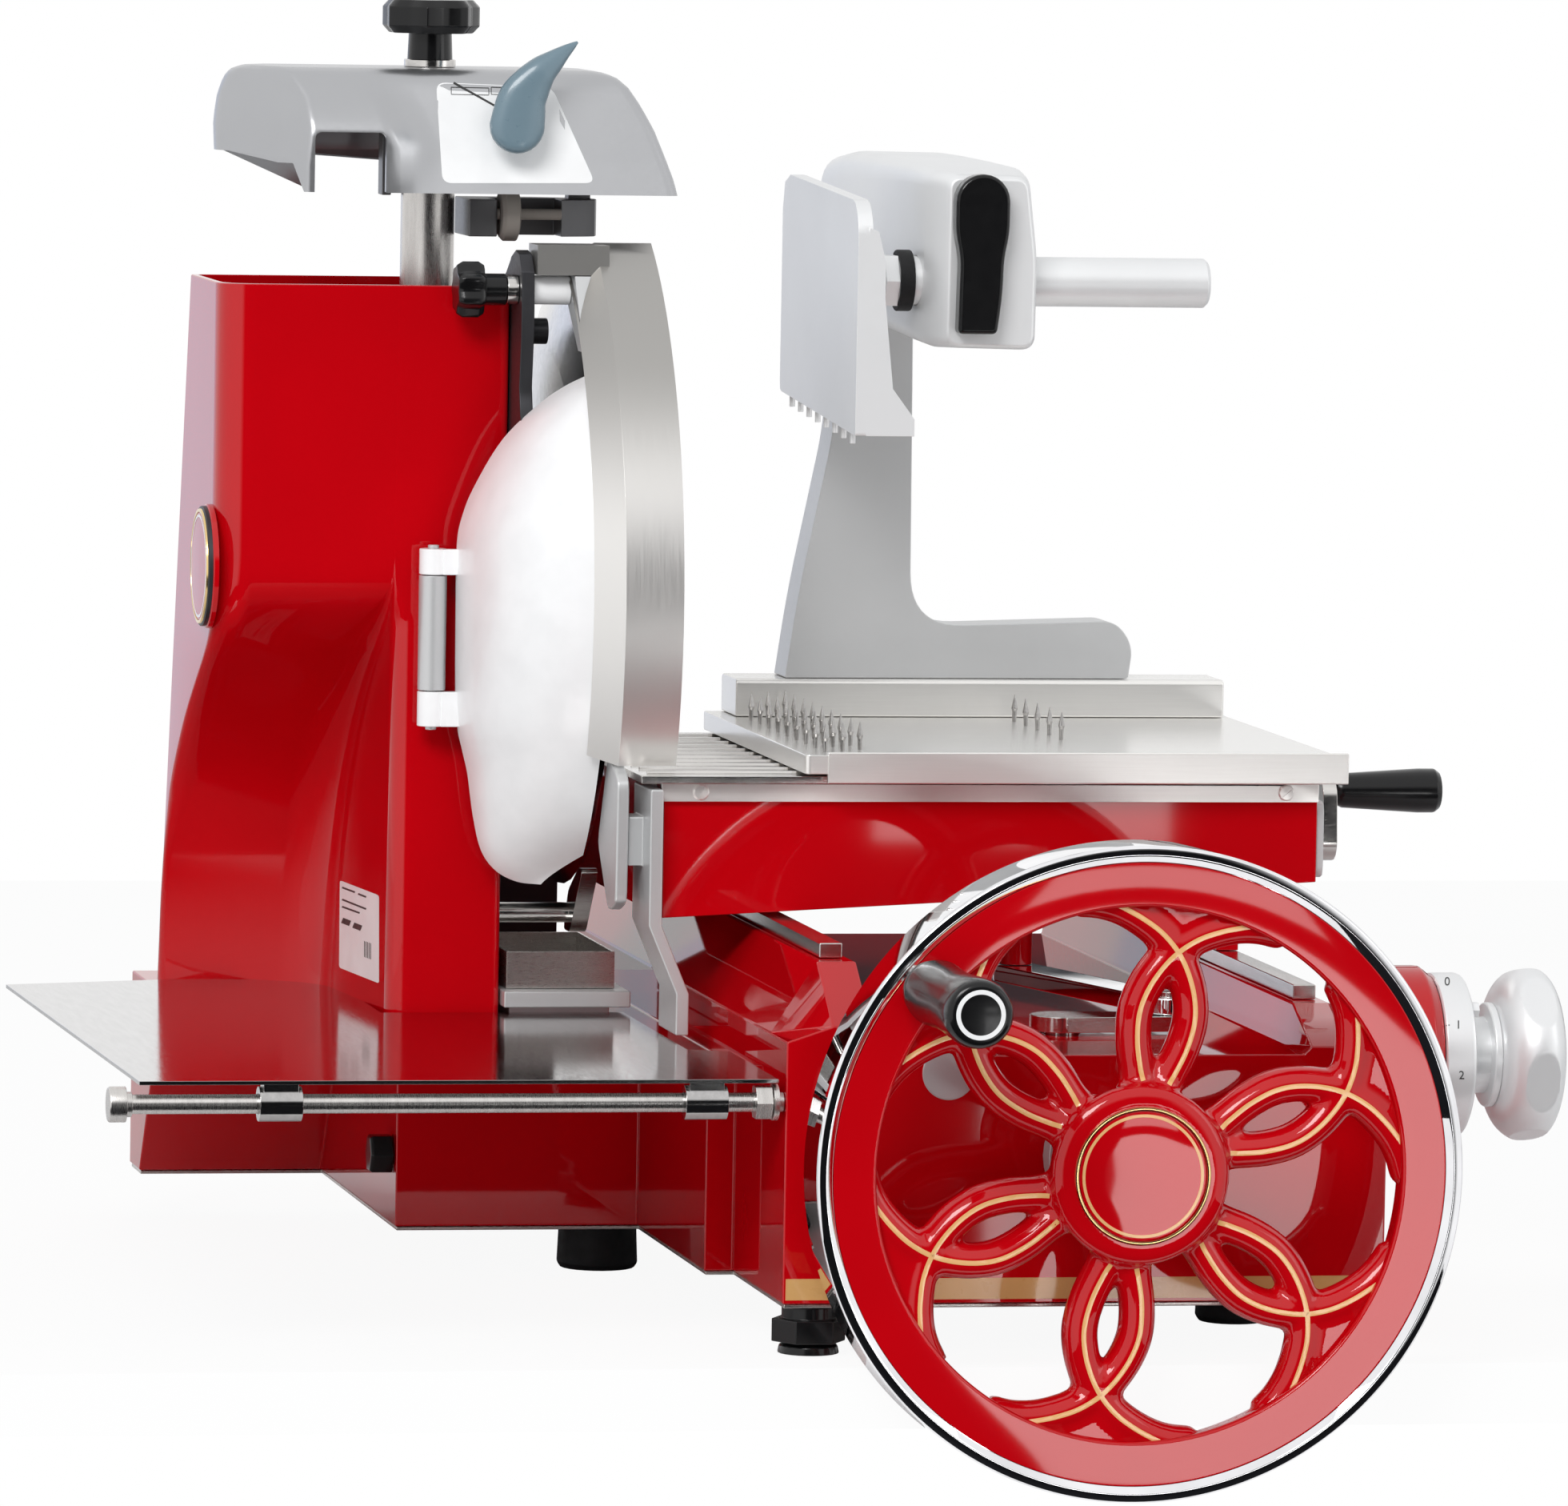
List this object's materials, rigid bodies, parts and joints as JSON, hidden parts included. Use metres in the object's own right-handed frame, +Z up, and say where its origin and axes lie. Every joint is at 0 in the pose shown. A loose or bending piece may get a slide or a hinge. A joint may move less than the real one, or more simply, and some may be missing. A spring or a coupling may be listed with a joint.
{
  "type": "hand-cranked food slicer",
  "caption": "Hand-cranked flywheel food slicer: round blade in a tall housing, sliding meat table with press, sharpener, slice tray and thickness dial.",
  "frame": {"origin": "centre of the front left foot's underside", "axes": "+X to the operator's right along the blade's axis, +Y away from the operator along the carriage's rails, +Z up"},
  "size_m": [0.7846, 0.857, 0.749],
  "materials": {
    "red_enamel": "glossy baked enamel",
    "polished_steel": "polished stainless steel",
    "brushed_steel": "brushed stainless steel",
    "chrome": "bright chromium plate",
    "satin_aluminium": "satin anodised casting",
    "dark_casting": "dark machined casting",
    "white_plastic": "smooth moulded",
    "black_plastic": "polished moulded",
    "black_rubber": "matt",
    "blue_grey_plastic": "satin moulded",
    "grinding_stone": "bonded abrasive, modelled as a dense matt solid"
  },
  "bodies": {
    "base": {"base_casting": "red_enamel", "bottom_plate": "brushed_steel", "foot_front_left": "black_plastic", "foot_right": "black_rubber", "foot_rear_left": "black_rubber", "foot_rear_right": "black_rubber", "tower_housing": "red_enamel", "blade_frame": "dark_casting", "drive_chain": "dark_casting", "cross_bearing": "satin_aluminium", "wheel_bearing": "satin_aluminium", "rail_left": "polished_steel", "rail_right": "polished_steel", "dial_boss": "red_enamel", "blade_guard": "brushed_steel", "guard_pin": "polished_steel", "guard_spacer": "white_plastic", "guard_tab": "satin_aluminium", "slice_deflector": "satin_aluminium", "deflector_arm": "satin_aluminium", "hinge_tube": "polished_steel", "sharpener_post": "polished_steel", "tray_rod": "polished_steel", "drip_box": "brushed_steel", "drip_shelf": "satin_aluminium", "lower_arm": "polished_steel"},
    "blade": {"blade_disc": "polished_steel", "blade_arbor": "polished_steel"},
    "guard_knob_body": {"guard_knob": "black_plastic"},
    "cover": {"blade_cover": "white_plastic"},
    "sharpener": {"sharpener_cover": "satin_aluminium", "sharpener_saddle": "satin_aluminium"},
    "stone": {"grinding_stone": "grinding_stone"},
    "top_knob": {"sharpener_knob": "black_plastic"},
    "sharpener_lever_body": {"sharpener_lever": "blue_grey_plastic"},
    "tray": {"slice_tray": "polished_steel"},
    "flywheel": {"wheel_web": "red_enamel", "wheel_rim": "chrome", "hub_medallion": "red_enamel", "wheel_shaft": "polished_steel", "grip_pin": "polished_steel"},
    "wheel_handle": {"wheel_grip": "black_plastic"},
    "crank": {"crank_shaft": "polished_steel"},
    "link": {"connecting_rod": "chrome"},
    "cross": {"cross_shaft": "polished_steel"},
    "carriage": {"carriage_box": "red_enamel", "carriage_strip": "polished_steel", "carriage_bed": "polished_steel", "end_plate": "satin_aluminium"},
    "table": {"meat_table": "polished_steel", "table_fence": "polished_steel", "press_column": "satin_aluminium", "press_head": "satin_aluminium"},
    "feed_crank": {"feed_screw": "polished_steel"},
    "feed_handle": {"feed_grip": "black_plastic"},
    "press": {"press_rod": "satin_aluminium", "press_buffer": "black_rubber", "press_plate": "satin_aluminium"},
    "lock": {"lock_lever": "black_plastic"},
    "dial": {"thickness_dial": "satin_aluminium"}
  },
  "joints": [
    {"name": "flywheel_spin", "type": "hinge", "parent": "base", "child": "flywheel", "pos_m": [0.1498, -0.106, 0.1033], "axis": [0, 1, 0], "continuous": true},
    {"name": "handle_turn", "type": "hinge", "parent": "flywheel", "child": "wheel_handle", "pos_m": [0.03785, -0.106, 0.19857], "axis": [0, 1, 0], "continuous": true},
    {"name": "crank_turn", "type": "hinge", "parent": "base", "child": "crank", "pos_m": [0.1498, 0.089, 0.155], "axis": [0, 0, 1], "continuous": true},
    {"name": "link_turn", "type": "hinge", "parent": "crank", "child": "link", "pos_m": [0.2078, 0.089, 0.155], "axis": [0, 0, 1], "continuous": true},
    {"name": "cross_turn", "type": "hinge", "parent": "base", "child": "cross", "pos_m": [-0.017, 0.404, 0.1033], "axis": [1, 0, 0], "continuous": true},
    {"name": "blade_spin", "type": "hinge", "parent": "base", "child": "blade", "pos_m": [-0.068, 0.379, 0.372], "axis": [1, 0, 0], "continuous": true},
    {"name": "carriage_slide", "type": "slide", "parent": "base", "child": "carriage", "axis": [0, 1, 0], "range_m": [-0.15, 0.15]},
    {"name": "table_feed", "type": "slide", "parent": "carriage", "child": "table", "axis": [-1, 0, 0], "range_m": [0, 0.055]},
    {"name": "feed_crank_turn", "type": "hinge", "parent": "carriage", "child": "feed_crank", "pos_m": [0.333, 0.284, 0.239], "axis": [1, 0, 0], "range_deg": [-1321, 0]},
    {"name": "feed_handle_turn", "type": "hinge", "parent": "feed_crank", "child": "feed_handle", "pos_m": [0.341, 0.284, 0.266], "axis": [1, 0, 0], "continuous": true},
    {"name": "press_feed", "type": "slide", "parent": "table", "child": "press", "axis": [-1, 0, 0], "range_m": [0, 0.03]},
    {"name": "lock_tilt", "type": "hinge", "parent": "table", "child": "lock", "pos_m": [0.1365, 0.25945, 0.514], "axis": [1, 0, 0], "range_deg": [0, 90]},
    {"name": "dial_turn", "type": "hinge", "parent": "base", "child": "dial", "pos_m": [0.3, 0.064, 0.146], "axis": [1, 0, 0], "range_deg": [0, 315]},
    {"name": "tray_slide", "type": "slide", "parent": "base", "child": "tray", "axis": [-1, 0, 0], "range_m": [0, 0.06]},
    {"name": "cover_swing", "type": "hinge", "parent": "base", "child": "cover", "pos_m": [-0.151, 0.306, 0.317], "axis": [0, 0, -1], "range_deg": [0, 90]},
    {"name": "guard_knob_turn", "type": "hinge", "parent": "base", "child": "guard_knob_body", "pos_m": [-0.109, 0.3, 0.532], "axis": [1, 0, 0], "continuous": true},
    {"name": "sharpener_lift", "type": "slide", "parent": "base", "child": "sharpener", "axis": [0, 0, 1], "range_m": [0, 0.04]},
    {"name": "stone_spin", "type": "hinge", "parent": "sharpener", "child": "stone", "pos_m": [-0.109, 0.36, 0.57], "axis": [1, 0, 0], "continuous": true},
    {"name": "top_knob_turn", "type": "hinge", "parent": "sharpener", "child": "top_knob", "pos_m": [-0.145, 0.379, 0.648], "axis": [0, 0, 1], "continuous": true},
    {"name": "sharpener_lever_tilt", "type": "hinge", "parent": "sharpener", "child": "sharpener_lever_body", "pos_m": [-0.106, 0.322, 0.621], "axis": [0, 1, 0], "range_deg": [0, 45]}
  ],
  "couplings": [
    {"joint": "crank_turn", "follows": "flywheel_spin", "ratio": -1},
    {"joint": "link_turn", "follows": "flywheel_spin", "ratio": 1},
    {"joint": "cross_turn", "follows": "flywheel_spin", "ratio": -2},
    {"joint": "blade_spin", "follows": "flywheel_spin", "ratio": -4},
    {"joint": "feed_crank_turn", "follows": "table_feed", "rad_per_m": -418.88}
  ]
}
